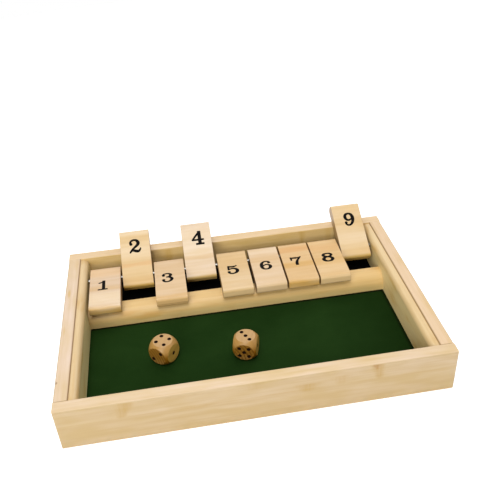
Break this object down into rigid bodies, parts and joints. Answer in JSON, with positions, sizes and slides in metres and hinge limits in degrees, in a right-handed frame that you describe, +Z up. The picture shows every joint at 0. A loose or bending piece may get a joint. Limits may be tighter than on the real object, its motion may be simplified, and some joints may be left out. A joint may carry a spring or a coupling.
{
  "type": "shut the box game",
  "caption": "Shallow wooden dice tray with a baize floor, a row of numbered wooden flip tiles hinged on a steel rod along the back, and a pair of rounded wooden dice.",
  "frame": {"origin": "centre of the underside, below the middle of the frame", "axes": "+X to the player's right along the row of tiles, +Y away from the player to the tile row, +Z up"},
  "size_m": [0.25, 0.1696, 0.0452],
  "materials": {
    "frame_wood": "pale laminated bamboo, fine straight lines, satin",
    "rail_wood": "pale yellow moulding, fine straight grain, satin",
    "base_wood": "plain pale plywood, unfinished",
    "tile_wood": "pale moulded strip, grain along the rod, satin",
    "die_wood": "warm brown turned hardwood, waxed",
    "baize": "dark green baize, short nap",
    "lining": "black felt strip",
    "rod_steel": "bright drawn steel",
    "ink": "black printing ink and pip paint"
  },
  "bodies": {
    "case": {"front_board": "frame_wood", "back_board": "frame_wood", "left_board": "frame_wood", "right_board": "frame_wood", "base_panel": "base_wood", "baize": "baize", "trough_lining": "lining", "left_rail": "rail_wood", "right_rail": "rail_wood", "crossbar": "rail_wood", "hinge_rod": "rod_steel"},
    "flap_1": {"tile_1": "tile_wood"},
    "flap_2": {"tile_2": "tile_wood"},
    "flap_3": {"tile_3": "tile_wood"},
    "flap_4": {"tile_4": "tile_wood"},
    "flap_5": {"tile_5": "tile_wood"},
    "flap_6": {"tile_6": "tile_wood"},
    "flap_7": {"tile_7": "tile_wood"},
    "flap_8": {"tile_8": "tile_wood"},
    "flap_9": {"tile_9": "tile_wood"},
    "left_die": {"die_left": "die_wood"},
    "right_die": {"die_right": "die_wood"}
  },
  "joints": [
    {"name": "flip_1", "type": "hinge", "parent": "case", "child": "flap_1", "pos_m": [-0.09712, 0.0532, 0.0239], "axis": [-1, 0, 0], "range_deg": [0, 151]},
    {"name": "flip_2", "type": "hinge", "parent": "case", "child": "flap_2", "pos_m": [-0.07284, 0.0532, 0.0239], "axis": [-1, 0, 0], "range_deg": [-151, 0]},
    {"name": "flip_3", "type": "hinge", "parent": "case", "child": "flap_3", "pos_m": [-0.04876, 0.0532, 0.0239], "axis": [-1, 0, 0], "range_deg": [0, 151]},
    {"name": "flip_4", "type": "hinge", "parent": "case", "child": "flap_4", "pos_m": [-0.02488, 0.0532, 0.0239], "axis": [-1, 0, 0], "range_deg": [-151, 0]},
    {"name": "flip_5", "type": "hinge", "parent": "case", "child": "flap_5", "pos_m": [-0.0002, 0.0532, 0.0239], "axis": [-1, 0, 0], "range_deg": [0, 151]},
    {"name": "flip_6", "type": "hinge", "parent": "case", "child": "flap_6", "pos_m": [0.02468, 0.0532, 0.0239], "axis": [-1, 0, 0], "range_deg": [0, 151]},
    {"name": "flip_7", "type": "hinge", "parent": "case", "child": "flap_7", "pos_m": [0.04886, 0.0532, 0.0239], "axis": [-1, 0, 0], "range_deg": [0, 151]},
    {"name": "flip_8", "type": "hinge", "parent": "case", "child": "flap_8", "pos_m": [0.07284, 0.0532, 0.0239], "axis": [-1, 0, 0], "range_deg": [0, 151]},
    {"name": "flip_9", "type": "hinge", "parent": "case", "child": "flap_9", "pos_m": [0.09702, 0.0532, 0.0239], "axis": [-1, 0, 0], "range_deg": [-151, 0]},
    {"name": "lift_left_die", "type": "slide", "parent": "case", "child": "left_die", "axis": [0, 0, 1], "range_m": [0, 0.06]},
    {"name": "lift_right_die", "type": "slide", "parent": "case", "child": "right_die", "axis": [0, 0, 1], "range_m": [0, 0.06]}
  ]
}
